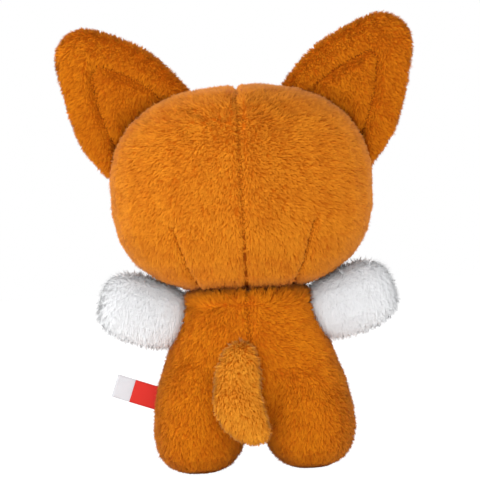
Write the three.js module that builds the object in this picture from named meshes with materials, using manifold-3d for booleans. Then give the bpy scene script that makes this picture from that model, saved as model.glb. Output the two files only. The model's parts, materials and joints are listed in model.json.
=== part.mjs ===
// A plush corgi, standing, as its maker cuts, stuffs and sews it.
// Millimetres, +Z up. The toy looks along -Y, and its left side is at +X.
// Each cloth panel is a thin shell, and the stuffing behind it is a body of its own.
import * as THREE from 'three';
import { mergeVertices } from 'three/addons/utils/BufferGeometryUtils.js';
import Module from 'manifold-3d';

const wasm = await Module();
wasm.setup();

// Cloth, seams and clearances
const clothThickness = 2;
const earClothThickness = 1.4;
const seamGap = 0.3;
const fillGap = 0.7;
const seatGap = 0.4;
const soleFlat = 0.5;

// Head
const headWidth = 166;
const headDepth = 120;
const headHeight = 130.5;
const headPower = 2.45;
const headSides = 26;
const headRings = 12;
const muzzleWidth = 70;
const muzzleHeight = 48;
const muzzleReach = 13;
const muzzleDepth = 52;
const muzzleAboveChin = 42;
const muzzlePower = 2;
const muzzleSides = 14;
const muzzleRings = 7;
const blazeTopWidth = 16;
const blazeBrowWidth = 24;
const blazeCheekWidth = 84;
const blazeChinWidth = 52;
const blazeTop = 30;
const blazeUnderChin = 2;
const blazeSteps = 7;

// Face fittings
const eyeDiameter = 15;
const eyeDome = 6;
const eyeSpacing = 78;
const eyeAboveChin = 62;
const noseWidth = 19;
const noseDome = 6;
const noseStretch = 0.72;
const noseAboveMuzzle = 9;
const domeSides = 16;
const domeTurns = [0, 18, 36, 54, 72];
const shankDiameter = 5;
const shankLength = 12;
const washerDiameter = 15;
const washerThickness = 2;
const washerSetback = 3;
const mouthThread = 1.6;
const mouthWidth = 24;
const mouthDrop = 9;
const mouthArch = 0.45;
const mouthSpots = 9;
const mouthSteps = 12;
const threadFacets = 3;

// Ears, their edge given outward from the toy's middle and up from the head's centre
const earPlane = -6;
const earBaseInner = 26;
const earBaseOuter = 7;
const earInnerOut = 48;
const earInnerUp = 88.5;
const earBrowOut = 72.5;
const earBrowUp = 103;
const earCrownOut = 99;
const earCrownUp = 111.5;
const earTipOut = 116.5;
const earTipUp = 97.5;
const earOuterOut = 112.5;
const earOuterUp = 64;
const earLobeOut = 101.5;
const earLobeUp = 30.5;
const earEdgeSteps = 21;
const earBaseSteps = 5;
const earThickness = 17;
const earLiningInset = 19;
const earPower = 2.2;
const earFaceShare = 0.45;
const earLayers = [-1, -0.85, -0.5, 0, 0.5, 0.85, 1];
const earInnerLayers = [-1, 0, 1];
const earInsetSpread = 1.4;

// Trunk and legs
const bodyHeight = 117;
const neckGap = 0.6;
const neckWadDiameter = 36;
const neckWidth = 75;
const neckDepth = 62;
const hipWidth = 128;
const hipHeight = 38;
const backDepth = 74;
const backHeight = 88;
const crotchDepth = 44;
const crotchHeight = 24;
const flankPower = 0.8;
const napePower = 2;
const rumpPower = 1.2;
const seatLeast = 0.5;
const shoulderDraw = 0.8;
const trunkSides = 22;
const trunkRings = 10;
const trunkPower = 2.3;
const legPower = 2.2;
const shoulderRound = 6;
const legSpacing = 72;
const legTopSpacing = 46;
const legWidth = 59;
const legDepth = 72;
const legTop = 100;
const legTaper = 62;
const footRound = 31;
const footPower = 2.2;
const solePower = 3;
const soleWidthShare = 0.3;
const soleDepthShare = 0.36;
const legBowPower = 2;
const legSides = 18;
const legRings = 10;
const bellyWidth = 52;
const bellyBottom = 34;
const bellySteps = 5;
const stuffingSplit = 44;

// Arms
const armHeight = 100;
const armTilt = 19;
const armRootDiameter = 41;
const armDiameter = 45;
const armReach = 39;
const armStandOff = 12;
const armTipPower = 3.4;
const armRootTurns = [-90, -60, -30];
const armShares = [0, 0.3, 0.6, 0.8, 0.92, 0.98];
const armSides = 14;

// Tail
const tailRootHeight = 86;
const tailRootAcross = 6;
const tailBellyAcross = 10;
const tailTipAcross = -1;
const tailLength = 64;
const tailWidth = 34;
const tailThickness = 19;
const tailRootOut = 1;
const tailOut = 11;
const tailRootShare = 0.72;
const tailTipPower = 2.8;
const tailSeamShare = 0.7;
const tailTipLeast = 0.5;
const tailSides = 14;
const tailRings = 9;

// Label in the left side seam
const ribbonWidth = 15;
const ribbonThickness = 0.5;
const backRibbonLength = 30;
const frontRibbonLength = 18;
const labelHeight = 50;
const labelTilt = 20;

// Values that follow from the driving dimensions
const farAway = 1000;
const insideDetail = 0.6;
const endCrowding = 0.35;
const weldDistance = 1e-4;
const ballSides = 16;
const ballRings = 10;
const turnedSides = 14;
const headBottom = bodyHeight + neckGap;
const headCentre = headBottom + headHeight / 2;
const degrees = Math.PI / 180;

// Geometry helpers

// The number of sides or rings of a form, fewer where it is drawn in and can't be seen.
function detail(count, inset) {
  return inset > 0 ? 2 * Math.round(count * insideDetail / 2) : count;
}

// Even shares of a length, drawn together towards both ends.
function endShares(count) {
  return Array.from({ length: count }, (_, i) => (
    (1 - Math.cos((i + endCrowding) / (count - 1 + 2 * endCrowding) * Math.PI)) / 2
  ));
}

// A number raised to a superellipse's power, with its sign kept.
function squared(value, power) {
  return Math.sign(value) * Math.abs(value) ** (2 / power);
}

// How wide a superellipse still is at a share of the way to its end.
function swell(share, power) {
  const rest = 1 - Math.min(Math.abs(share), 1) ** power;
  return rest ** (1 / power);
}

function mix(from, to, share) {
  return from + (to - from) * share;
}

// Turns the faces round when they point inwards.
function facingOut(geometry) {
  const place = geometry.getAttribute('position');
  const index = geometry.index.array;
  const corner = [0, 1, 2].map(() => new THREE.Vector3());
  let volume = 0;
  for (let i = 0; i < index.length; i += 3) {
    corner.forEach((point, k) => point.fromBufferAttribute(place, index[i + k]));
    volume += corner[0].dot(corner[1].clone().cross(corner[2]));
  }
  if (volume < 0) index.reverse();
  return geometry;
}

function solid(geometry) {
  const bare = geometry.clone();
  bare.deleteAttribute('normal');
  bare.deleteAttribute('uv');
  const merged = facingOut(mergeVertices(bare, weldDistance));
  return new wasm.Manifold(new wasm.Mesh({
    numProp: 3,
    vertProperties: new Float32Array(merged.getAttribute('position').array),
    triVerts: new Uint32Array(merged.index.array),
  }));
}

// A closed skin through rings of points, with each end drawn to its middle.
function loft(rings) {
  const count = rings[0].length;
  const points = rings.flat();
  const index = [];
  for (let i = 0; i + 1 < rings.length; i++) {
    for (let j = 0; j < count; j++) {
      const next = (j + 1) % count;
      const a = i * count + j;
      const b = i * count + next;
      index.push(a, b, b + count, a, b + count, a + count);
    }
  }
  for (const [start, ring] of [[0, rings[0]], [(rings.length - 1) * count, rings.at(-1)]]) {
    const middle = ring.reduce((sum, p) => sum.add(p), new THREE.Vector3()).divideScalar(count);
    const at = points.push(middle) - 1;
    for (let j = 0; j < count; j++) {
      const edge = [start + j, start + (j + 1) % count];
      index.push(...(start ? edge : edge.reverse()), at);
    }
  }
  const geometry = new THREE.BufferGeometry().setFromPoints(points);
  return geometry.setIndex(index);
}

// One level ring of a swelling form.
function levelRing(x, y, z, halfWidth, halfDepth, power, sides) {
  return Array.from({ length: sides }, (_, j) => {
    const turn = (j + 0.5) / sides * 2 * Math.PI;
    return new THREE.Vector3(
      x + halfWidth * squared(Math.cos(turn), power),
      y + halfDepth * squared(Math.sin(turn), power),
      z,
    );
  });
}

function swollenBlock(centre, half, power, sides, rings) {
  const levels = Array.from({ length: rings }, (_, i) => {
    const rise = (i + 0.5) / rings * Math.PI - Math.PI / 2;
    const wide = squared(Math.cos(rise), power);
    const z = centre.z + half.z * squared(Math.sin(rise), power);
    return levelRing(centre.x, centre.y, z, half.x * wide, half.y * wide, power, sides);
  });
  return solid(loft(levels));
}

function box(low, high) {
  const size = low.map((value, k) => high[k] - value);
  const middle = low.map((value, k) => (high[k] + value) / 2);
  return solid(new THREE.BoxGeometry(...size).translate(...middle));
}

// The space on one side of a plane, kept half a seam away from it.
function sideOf(axis, sign, at = 0) {
  const low = [-farAway, -farAway, -farAway];
  const high = [farAway, farAway, farAway];
  if (sign > 0) low[axis] = at + seamGap / 2;
  else high[axis] = at - seamGap / 2;
  return box(low, high);
}

// A flat outline in X and Z, carried through the toy's front half.
function frontPrism(points) {
  const shape = new THREE.Shape(points);
  const geometry = new THREE.ExtrudeGeometry(shape, { depth: farAway, bevelEnabled: false });
  return solid(geometry.rotateX(Math.PI / 2));
}

function outset(points, amount) {
  return points.map((point, i) => {
    const before = points[(i + points.length - 1) % points.length];
    const after = points[(i + 1) % points.length];
    const along = after.clone().sub(before).normalize();
    return new THREE.Vector2(point.x + along.y * amount, point.y - along.x * amount);
  });
}

function ball(centre, radius) {
  const round = new THREE.SphereGeometry(radius, ballSides, ballRings).rotateX(Math.PI / 2);
  return solid(round.translate(...centre));
}

// The round opening that a ball turns in, with its flat facets clear of the ball.
function socket(centre, radius) {
  const facets = Math.cos(Math.PI / ballSides) * Math.cos(Math.PI / (2 * ballRings));
  return ball(centre, (radius + seatGap) / facets);
}

// A turned piece, its axis laid along a direction from a point.
function turned(profile, origin, direction, sides = turnedSides, stretch = 1) {
  const geometry = new THREE.LatheGeometry(profile.map((p) => new THREE.Vector2(...p)), sides);
  geometry.scale(1, 1, stretch);
  const turn = new THREE.Quaternion().setFromUnitVectors(new THREE.Vector3(0, 1, 0), direction);
  return solid(geometry.applyQuaternion(turn).translate(...origin));
}

function rod(radius, from, to, origin, direction) {
  return turned([[0, from], [radius, from], [radius, to], [0, to]], origin, direction);
}

// The main body that a cut leaves, without the slivers beside it.
function mainBody(cut) {
  return cut.decompose().sort((a, b) => b.volume() - a.volume())[0];
}

// Forms, each drawn in by an inset from the outside of the cloth

function headForm(inset) {
  const half = new THREE.Vector3(headWidth / 2, headDepth / 2, headHeight / 2).subScalar(inset);
  const centre = new THREE.Vector3(0, 0, headCentre);
  const skull = swollenBlock(centre, half, headPower, detail(headSides, inset), detail(headRings, inset));
  const drawnIn = muzzleHalf.clone().subScalar(inset);
  const muzzle = swollenBlock(muzzleCentre, drawnIn, muzzlePower, muzzleSides, muzzleRings);
  return skull.add(muzzle);
}
const muzzleHalf = new THREE.Vector3(muzzleWidth, muzzleDepth, muzzleHeight).divideScalar(2);
const muzzleCentre = new THREE.Vector3(
  0,
  muzzleHalf.y - headDepth / 2 - muzzleReach,
  headBottom + muzzleAboveChin,
);

// How far a head of full size reaches along X at a height, in the plane of the ears.
function headRim(z) {
  const depth = (Math.abs(earPlane) / (headDepth / 2)) ** headPower;
  const rise = (Math.abs(z - headCentre) / (headHeight / 2)) ** headPower;
  return headWidth / 2 * Math.max(1 - depth - rise, 0) ** (1 / headPower);
}

function trunkWidthAt(z) {
  const share = Math.max((bodyHeight - z) / (bodyHeight - hipHeight), 0);
  return mix(neckWidth, hipWidth, Math.min(share, 1) ** flankPower);
}

function trunkDepthAt(z) {
  if (z > backHeight) {
    const above = (z - backHeight) / (bodyHeight - backHeight);
    return mix(backDepth, neckDepth, above ** napePower);
  }
  const below = (backHeight - z) / (backHeight - crotchHeight);
  return mix(backDepth, crotchDepth, below ** rumpPower);
}

function trunkForm(inset) {
  const top = bodyHeight - inset;
  const bottom = crotchHeight + inset;
  const rings = endShares(detail(trunkRings, inset)).map((share) => {
    const z = mix(bottom, top, share);
    const shoulder = swell(1 - Math.min((top - z) / shoulderRound, 1), 2);
    const seat = swell(1 - Math.min((z - bottom) / (hipHeight - crotchHeight), 1), 2);
    const drawn = Math.max(seat, seatLeast) * mix(shoulderDraw, 1, shoulder);
    const halfWidth = trunkWidthAt(z) / 2 * drawn - inset;
    const halfDepth = trunkDepthAt(z) / 2 * drawn - inset;
    return levelRing(0, 0, z, halfWidth, halfDepth, trunkPower, detail(trunkSides, inset));
  });
  return solid(loft(rings));
}

function legForm(side, inset) {
  const rings = endShares(detail(legRings, inset)).map((share) => {
    const z = mix(inset, legTop - inset, share);
    const foot = 1 - Math.min((z - inset) / footRound, 1);
    const taper = Math.max((z - (legTop - legTaper)) / legTaper, 0);
    const across = mix(legSpacing, legTopSpacing, share ** legBowPower) / 2 * side;
    const wide = Math.max(swell(foot, footPower), soleWidthShare) * swell(taper, 2);
    const deep = Math.max(swell(foot, solePower), soleDepthShare) * swell(taper, 2);
    const halfWidth = (legWidth / 2 - inset) * wide;
    const halfDepth = (legDepth / 2 - inset) * deep;
    return levelRing(across, 0, z, halfWidth, halfDepth, legPower, detail(legSides, inset));
  });
  return solid(loft(rings));
}

function torsoForm(inset) {
  return trunkForm(inset).add(legForm(1, inset)).add(legForm(-1, inset));
}

function flankSlope() {
  const step = 1;
  const fall = (trunkWidthAt(armHeight - step) - trunkWidthAt(armHeight + step)) / (4 * step);
  return new THREE.Vector3(1, 0, fall).normalize();
}

function shoulder(side) {
  const out = flankSlope().multiplyScalar(armStandOff);
  return new THREE.Vector3((trunkWidthAt(armHeight) / 2 + out.x) * side, 0, armHeight + out.z);
}

function armForm(side, inset) {
  const root = armRootDiameter / 2 - inset;
  const reach = armReach - inset;
  const profile = [];
  for (const turn of armRootTurns) {
    profile.push([root * Math.cos(turn * degrees), root * Math.sin(turn * degrees)]);
  }
  for (const share of armShares) {
    const fat = mix(root, armDiameter / 2 - inset, Math.sin(share * Math.PI / 2));
    profile.push([fat * swell(share, armTipPower), reach * share]);
  }
  profile.push([0, reach]);
  profile[0][0] = 0;
  const tilt = armTilt * degrees;
  const direction = new THREE.Vector3(Math.cos(tilt) * side, 0, Math.sin(tilt));
  return turned(profile, shoulder(side), direction, detail(armSides, inset));
}

// The free edge of the left ear in X and Z, from the inner end of its base round the tip.
function earEdge() {
  const innerUp = headCentre + headHeight / 2 * swell(earBaseInner / (headWidth / 2), headPower);
  const outerUp = headCentre + earBaseOuter;
  const inner = new THREE.Vector2(earBaseInner, innerUp);
  const outer = new THREE.Vector2(headRim(outerUp) + seatGap, outerUp);
  const edge = new THREE.SplineCurve([
    inner,
    new THREE.Vector2(earInnerOut, headCentre + earInnerUp),
    new THREE.Vector2(earBrowOut, headCentre + earBrowUp),
    new THREE.Vector2(earCrownOut, headCentre + earCrownUp),
    new THREE.Vector2(earTipOut, headCentre + earTipUp),
    new THREE.Vector2(earOuterOut, headCentre + earOuterUp),
    new THREE.Vector2(earLobeOut, headCentre + earLobeUp),
    outer,
  ]);
  return edge.getPoints(earEdgeSteps);
}

// The whole outline of the left ear, closed along the head's rim.
function earOutline() {
  const points = earEdge();
  const angleOf = (point) => Math.atan2(point.y - headCentre, point.x);
  const start = angleOf(points.at(-1));
  const end = angleOf(points[0]);
  for (let step = 1; step < earBaseSteps; step += 1) {
    points.push(rimPoint(mix(start, end, step / earBaseSteps)));
  }
  return points;
}

// The point just outside the head's rim, in the plane of the ears, seen from its centre.
function rimPoint(turn) {
  const depth = 1 - (Math.abs(earPlane) / (headDepth / 2)) ** headPower;
  const across = Math.abs(Math.cos(turn) / (headWidth / 2)) ** headPower;
  const rise = Math.abs(Math.sin(turn) / (headHeight / 2)) ** headPower;
  const reach = (depth / (across + rise)) ** (1 / headPower) + 2 * seatGap;
  return new THREE.Vector2(reach * Math.cos(turn), headCentre + reach * Math.sin(turn));
}

function earForm(side, inset) {
  const outline = earOutline();
  const middle = outline.reduce((sum, p) => sum.add(p), new THREE.Vector2()).divideScalar(outline.length);
  const half = earThickness / 2 - inset;
  const layers = inset > 0 ? earInnerLayers : earLayers;
  const rings = layers.map((layer) => {
    const share = Math.max(swell(layer, earPower), earFaceShare);
    return outline.map((point) => {
      const arm = point.clone().sub(middle);
      const reach = share * (1 - inset * earInsetSpread / arm.length());
      const at = middle.clone().addScaledVector(arm, reach);
      return new THREE.Vector3(at.x * side, earPlane + half * layer, at.y);
    });
  });
  return solid(loft(rings));
}

function tailForm(inset) {
  const rings = endShares(detail(tailRings, inset)).map((share) => {
    const z = tailRootHeight - inset - (tailLength - 2 * inset) * share;
    const early = mix(tailRootAcross, tailBellyAcross, Math.min(share * 2, 1));
    const x = mix(early, tailTipAcross, Math.max(share * 2 - 1, 0) ** 2);
    const leaf = mix(tailRootShare, 1, Math.sin(share * Math.PI / 2)) * swell(2 * share - 1, tailTipPower);
    const y = backDepth / 2 + mix(tailRootOut, tailOut, Math.sin(share * Math.PI / 2));
    const wide = Math.max(tailWidth / 2 * leaf - inset, tailTipLeast);
    const thick = Math.max(tailThickness / 2 * leaf - inset, tailTipLeast);
    return levelRing(x, y, z, wide, thick, 2, detail(tailSides, inset));
  });
  return solid(loft(rings));
}

// Materials
function finish(color, roughness = 1) {
  return new THREE.MeshStandardMaterial({ color, roughness, metalness: 0 });
}
const brownPlush = finish(0xb9651b);
const tailPlush = finish(0xc17a2c);
const whitePlush = finish(0xf1f0f4);
const liningPlush = finish(0xf2e3d6);
const fibre = finish(0xf6f5f1);
const eyePlastic = finish(0x15110f, 0.2);
const nosePlastic = finish(0x1b1614, 0.35);
const washerPlastic = finish(0xe8e6df, 0.5);
const threadFinish = finish(0x2b201b, 0.8);
const redRibbon = finish(0xd8402c, 0.5);
const whiteRibbon = finish(0xf4f4f4, 0.5);

const corgi = new THREE.Group();

function addPiece(name, body, material) {
  const made = mainBody(body).getMesh();
  const geometry = new THREE.BufferGeometry();
  geometry.setAttribute('position', new THREE.BufferAttribute(made.vertProperties, 3));
  geometry.setIndex(new THREE.BufferAttribute(made.triVerts, 1));
  geometry.computeVertexNormals();
  const mesh = new THREE.Mesh(geometry, material);
  mesh.name = name;
  corgi.add(mesh);
}

const sides = [['left', 1], ['right', -1]];
const front = sideOf(1, -1);
const back = sideOf(1, 1);

// Neck wad, the ball of fibre on which the head turns and nods
const neckCentre = [0, 0, bodyHeight + neckGap / 2];
const neckOpening = socket(neckCentre, neckWadDiameter / 2);
addPiece('neck_wad', ball(neckCentre, neckWadDiameter / 2), fibre);

// Head cloth
const headCloth = headForm(0).subtract(headForm(clothThickness)).subtract(neckOpening);
let headFill = headForm(clothThickness + fillGap).subtract(neckOpening);

function blazeOutline() {
  const chin = headBottom - blazeUnderChin;
  const right = [
    [blazeTopWidth / 2, headBottom + headHeight - blazeTop],
    [blazeBrowWidth / 2, headBottom + eyeAboveChin],
    [blazeCheekWidth / 2, headBottom + muzzleAboveChin],
    [blazeChinWidth / 2, chin],
  ];
  const curve = new THREE.SplineCurve(right.map((p) => new THREE.Vector2(...p)));
  const edge = curve.getPoints(blazeSteps);
  const mirrored = edge.map((p) => new THREE.Vector2(-p.x, p.y)).reverse();
  return [...mirrored, ...edge];
}
const blazeShape = blazeOutline();
const blazeSpace = frontPrism(blazeShape);
const blazeSurround = frontPrism(outset(blazeShape, -seamGap));

// A fitting's place on the front of the head, with the way it faces.
function eyeSeat(side) {
  const x = eyeSpacing / 2;
  const z = headBottom + eyeAboveChin;
  const half = [headWidth / 2, headDepth / 2, headHeight / 2];
  const rest = 1 - (x / half[0]) ** headPower - (Math.abs(z - headCentre) / half[2]) ** headPower;
  const y = half[1] * rest ** (1 / headPower);
  const slope = [x, y, Math.abs(z - headCentre)].map((v, k) => (v / half[k]) ** (headPower - 1) / half[k]);
  const facing = new THREE.Vector3(slope[0] * side, -slope[1], slope[2] * Math.sign(z - headCentre));
  return { at: new THREE.Vector3(x * side, -y, z), facing: facing.normalize() };
}

function noseSeat() {
  const rise = noseAboveMuzzle / muzzleHalf.z;
  const y = muzzleCentre.y - muzzleHalf.y * swell(rise, 2);
  const facing = new THREE.Vector3(0, (y - muzzleCentre.y) / muzzleHalf.y ** 2, rise / muzzleHalf.z);
  return { at: new THREE.Vector3(0, y, muzzleCentre.z + noseAboveMuzzle), facing: facing.normalize() };
}

// A moulded fitting: a dome on the cloth, a shank through it and a washer behind.
function addFitting(name, seat, diameter, dome, stretch, material) {
  const radius = diameter / 2;
  const shank = shankDiameter / 2;
  const profile = [[0, -shankLength], [shank, -shankLength], [shank, seatGap]];
  for (const turn of domeTurns) {
    profile.push([radius * Math.cos(turn * degrees), seatGap + dome * Math.sin(turn * degrees)]);
  }
  profile.push([0, seatGap + dome]);
  addPiece(name, turned(profile, seat.at, seat.facing, domeSides, stretch), material);
  const hole = rod(shank + seamGap, -shankLength - seatGap, seatGap, seat.at, seat.facing);
  const outerFace = -clothThickness - washerSetback;
  const innerFace = outerFace - washerThickness;
  const disc = rod(washerDiameter / 2, innerFace, outerFace, seat.at, seat.facing);
  addPiece(name.replace(/^(eye|nose)/, '$1_washer'), disc.subtract(hole), washerPlastic);
  const pocket = rod(washerDiameter / 2 + seatGap, innerFace - seatGap, 0, seat.at, seat.facing);
  headFill = headFill.subtract(pocket).subtract(hole);
  return hole;
}
const eyeHoles = sides.map(([name, side]) => (
  addFitting(`eye_${name}`, eyeSeat(side), eyeDiameter, eyeDome, 1, eyePlastic)
));
const noseHole = addFitting('nose', noseSeat(), noseWidth, noseDome, noseStretch, nosePlastic);

// Embroidered mouth, a thread that follows the muzzle under the nose
function mouthPath() {
  const points = [];
  for (let i = 0; i < mouthSpots; i++) {
    const share = 2 * i / (mouthSpots - 1) - 1;
    const x = share * mouthWidth / 2;
    const arch = Math.abs(Math.sin(share * Math.PI));
    const z = muzzleCentre.z - mouthDrop * mix(1 - mouthArch, 1, arch);
    const rest = 1 - (x / muzzleHalf.x) ** 2 - ((z - muzzleCentre.z) / muzzleHalf.z) ** 2;
    const y = muzzleCentre.y - muzzleHalf.y * Math.sqrt(rest);
    points.push(new THREE.Vector3(x, y, z));
  }
  return new THREE.CatmullRomCurve3(points);
}
const threadSection = new THREE.Shape().absarc(0, 0, mouthThread / 2, 0, 2 * Math.PI);
const mouth = new THREE.ExtrudeGeometry(threadSection, {
  steps: mouthSteps,
  extrudePath: mouthPath(),
  curveSegments: threadFacets,
});
addPiece('mouth_stitch', solid(mouth).subtract(headForm(-seamGap)), threadFinish);

for (const [i, [name, side]] of sides.entries()) {
  const half = headCloth.intersect(sideOf(0, side));
  addPiece(`head_back_${name}`, half.intersect(back), brownPlush);
  const cheek = half.intersect(front).subtract(blazeSurround).subtract(eyeHoles[i]);
  addPiece(`face_${name}`, cheek, brownPlush);
}
const blazeCloth = headCloth.intersect(front).intersect(blazeSpace);
addPiece('blaze', blazeCloth.subtract(noseHole), whitePlush);
addPiece('head_stuffing', headFill, fibre);

// Ears
// The lining's outline, drawn in from the ear's edge and run down into the head.
function liningOutline(amount) {
  const points = earEdge();
  const middle = points[0].clone().lerp(points.at(-1), 0.5);
  return points.map((point) => {
    const arm = point.clone().sub(middle);
    return middle.clone().addScaledVector(arm, 1 - amount / arm.length());
  });
}

const clearOfHead = headForm(-seatGap);
for (const [name, side] of sides) {
  const earShape = (points) => points.map((p) => new THREE.Vector2(p.x * side, p.y));
  const cloth = earForm(side, 0).subtract(earForm(side, earClothThickness)).subtract(clearOfHead);
  const earFront = cloth.intersect(sideOf(1, -1, earPlane));
  const lining = frontPrism(earShape(liningOutline(earLiningInset)));
  const surround = frontPrism(earShape(liningOutline(earLiningInset - seamGap)));
  addPiece(`ear_back_${name}`, cloth.intersect(sideOf(1, 1, earPlane)), brownPlush);
  addPiece(`ear_front_${name}`, earFront.subtract(surround), brownPlush);
  addPiece(`ear_lining_${name}`, earFront.intersect(lining), liningPlush);
  addPiece(`ear_wadding_${name}`, earForm(side, earClothThickness + fillGap), fibre);
}

// Trunk and legs
const ground = box([-farAway, -farAway, soleFlat], [farAway, farAway, farAway]);
const shoulderOpenings = sides.map(([, side]) => (
  socket(shoulder(side).toArray(), armRootDiameter / 2)
));
const torsoOpenings = shoulderOpenings.reduce((sum, opening) => sum.add(opening), neckOpening);
const torsoShell = torsoForm(0).subtract(torsoForm(clothThickness));
const torsoCloth = torsoShell.subtract(torsoOpenings).intersect(ground);
const torsoFill = torsoForm(clothThickness + fillGap).subtract(torsoOpenings);

function bellyOutline(extra) {
  const half = bellyWidth / 2 + extra;
  const bottom = bellyBottom - extra;
  const shape = new THREE.Shape();
  shape.moveTo(half, farAway);
  shape.lineTo(-half, farAway);
  shape.lineTo(-half, bottom + half);
  shape.absarc(0, bottom + half, half, Math.PI, 2 * Math.PI);
  return shape.getPoints(bellySteps);
}
const bellySurround = frontPrism(bellyOutline(seamGap));

for (const [name, side] of sides) {
  const half = torsoCloth.intersect(sideOf(0, side));
  addPiece(`body_back_${name}`, half.intersect(back), brownPlush);
  addPiece(`body_front_${name}`, half.intersect(front).subtract(bellySurround), brownPlush);
  const legFill = torsoFill.intersect(sideOf(0, side)).intersect(sideOf(2, -1, stuffingSplit));
  addPiece(`leg_stuffing_${name}`, legFill, fibre);
}
addPiece('belly', torsoCloth.intersect(front).intersect(frontPrism(bellyOutline(0))), whitePlush);
addPiece('torso_stuffing', torsoFill.intersect(sideOf(2, 1, stuffingSplit)), fibre);

// Arms
for (const [name, side] of sides) {
  const cloth = armForm(side, 0).subtract(armForm(side, clothThickness)).subtract(clearOfHead);
  addPiece(`arm_back_${name}`, cloth.intersect(back), whitePlush);
  addPiece(`arm_front_${name}`, cloth.intersect(front), whitePlush);
  addPiece(`arm_stuffing_${name}`, armForm(side, clothThickness + fillGap).subtract(clearOfHead), fibre);
}

// Tail, two leaves of cloth with their seam along the edge
const clearOfBack = torsoForm(-seatGap);
const tailCloth = tailForm(0).subtract(tailForm(clothThickness)).subtract(clearOfBack);
const tailSeam = backDepth / 2 + mix(tailRootOut, tailOut, tailSeamShare);
addPiece('tail_outer', tailCloth.intersect(sideOf(1, 1, tailSeam)), tailPlush);
addPiece('tail_inner', tailCloth.intersect(sideOf(1, -1, tailSeam)), tailPlush);
addPiece('tail_stuffing', tailForm(clothThickness + fillGap).subtract(clearOfBack), fibre);

// Label, two bare ribbons that leave the side seam together
function ribbon(length, layer) {
  const root = trunkWidthAt(labelHeight) / 2;
  const strip = new THREE.BoxGeometry(length + root, ribbonThickness, ribbonWidth);
  strip.translate((length + root) / 2, layer * (ribbonThickness + seamGap), 0);
  strip.translate(-root, 0, 0).rotateY(-labelTilt * degrees).translate(root, 0, labelHeight);
  return solid(strip).subtract(clearOfBack);
}
addPiece('label_back', ribbon(backRibbonLength, -0.5), whiteRibbon);
addPiece('label_front', ribbon(frontRibbonLength, 0.5), redRibbon);

// The origin lies on the ground, under the middle of the toy
const span = new THREE.Box3().setFromObject(corgi);
corgi.children.forEach((mesh) => {
  mesh.position.set(0, -(span.min.y + span.max.y) / 2, -soleFlat);
});

export default corgi;
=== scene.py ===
"""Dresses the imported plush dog: covers with seams and pile, face fittings, ribbons and a studio stage."""

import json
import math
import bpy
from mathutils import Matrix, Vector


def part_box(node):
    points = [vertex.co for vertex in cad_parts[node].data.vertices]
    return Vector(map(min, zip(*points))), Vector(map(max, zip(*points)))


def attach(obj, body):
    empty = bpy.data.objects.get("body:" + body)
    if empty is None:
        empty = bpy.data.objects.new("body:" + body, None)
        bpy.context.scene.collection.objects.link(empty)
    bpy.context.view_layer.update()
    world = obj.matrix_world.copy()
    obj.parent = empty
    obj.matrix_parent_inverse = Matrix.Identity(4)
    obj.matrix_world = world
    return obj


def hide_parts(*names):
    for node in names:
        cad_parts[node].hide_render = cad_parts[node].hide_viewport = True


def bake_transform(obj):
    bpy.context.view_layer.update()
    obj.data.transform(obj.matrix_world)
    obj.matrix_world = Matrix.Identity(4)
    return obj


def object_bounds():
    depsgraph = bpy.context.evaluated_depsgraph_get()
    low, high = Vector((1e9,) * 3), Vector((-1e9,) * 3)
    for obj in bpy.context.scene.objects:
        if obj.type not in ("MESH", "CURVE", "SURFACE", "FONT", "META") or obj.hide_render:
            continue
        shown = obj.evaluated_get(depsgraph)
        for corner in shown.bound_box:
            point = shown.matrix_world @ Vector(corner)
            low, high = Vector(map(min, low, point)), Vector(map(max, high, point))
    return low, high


bl_info = {
    "name": "Plush dog",
    "version": (1, 0, 0),
    "blender": (4, 5, 0),
    "location": "View3D > Sidebar > Plush",
    "description": "Covers, pile, face fittings and ribbons of a stuffed dog, with its studio stage",
    "category": "Object",
}

import bpy
import numpy as np
from bpy.props import FloatProperty, FloatVectorProperty, IntProperty, PointerProperty
from mathutils import Matrix, Vector, noise
from mathutils.bvhtree import BVHTree
from mathutils.kdtree import KDTree

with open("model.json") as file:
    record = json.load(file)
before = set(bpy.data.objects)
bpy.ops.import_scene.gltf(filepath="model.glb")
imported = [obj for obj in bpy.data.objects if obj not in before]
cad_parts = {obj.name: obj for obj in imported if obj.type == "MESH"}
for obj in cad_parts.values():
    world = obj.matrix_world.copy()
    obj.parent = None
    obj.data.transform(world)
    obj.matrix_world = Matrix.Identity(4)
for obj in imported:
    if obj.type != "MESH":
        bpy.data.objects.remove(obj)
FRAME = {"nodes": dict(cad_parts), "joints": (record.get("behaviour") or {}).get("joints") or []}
CAD_LOW, CAD_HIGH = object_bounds()
JOINTS = {joint["name"]: joint for joint in FRAME["joints"]}
NECK = np.array(JOINTS["neck_turn"]["pos_m"])
SIDES = {"left": 1.0, "right": -1.0}
MM = 0.001
FINISHES = {}

# How a pile lies, where it differs from the plain way that Cover.pile gives
COMBED = {"lean": 1.45, "wild": 0.35, "relief": 0.1, "pull": 0.35, "stray": 0.05}
FLUFFY = {"lean": 1.6, "wild": 0.25, "relief": 0.04, "pull": 0.15, "stray": 0.16, "even": 0.4}
SHAGGY = {"lean": 0.8, "wild": 0.6, "stray": 0.3}

# Contrast between tufts, and sheen, of each kind of pile
PILE_LOOKS = {
    "brown": (0.85, 0.1),
    "body": (0.85, 0.05),
    "tail": (0.85, 0.1),
    "white": (0.3, 0.1),
    "lining": (0.4, 0.15),
}

# Sewn lines of one side, in millimetres outward and up: an ear's, from crown to cheek, and a dart of the nape
EAR_QUILTING = (
    (47, 241), (54, 250), (72, 261.5), (88, 268), (92, 264), (91.5, 254), (89, 240), (84, 224), (76, 208),
)
NAPE_DART = ((29, 119), (37, 134), (45, 162))

# Where a change begins and where it is complete: across the toy
SWEPT_HEAD = (12 * MM, -22 * MM)
SWEPT_BACK = (4 * MM, -20 * MM)

# From back to front
FACE = (-2 * MM, -22 * MM)

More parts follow.
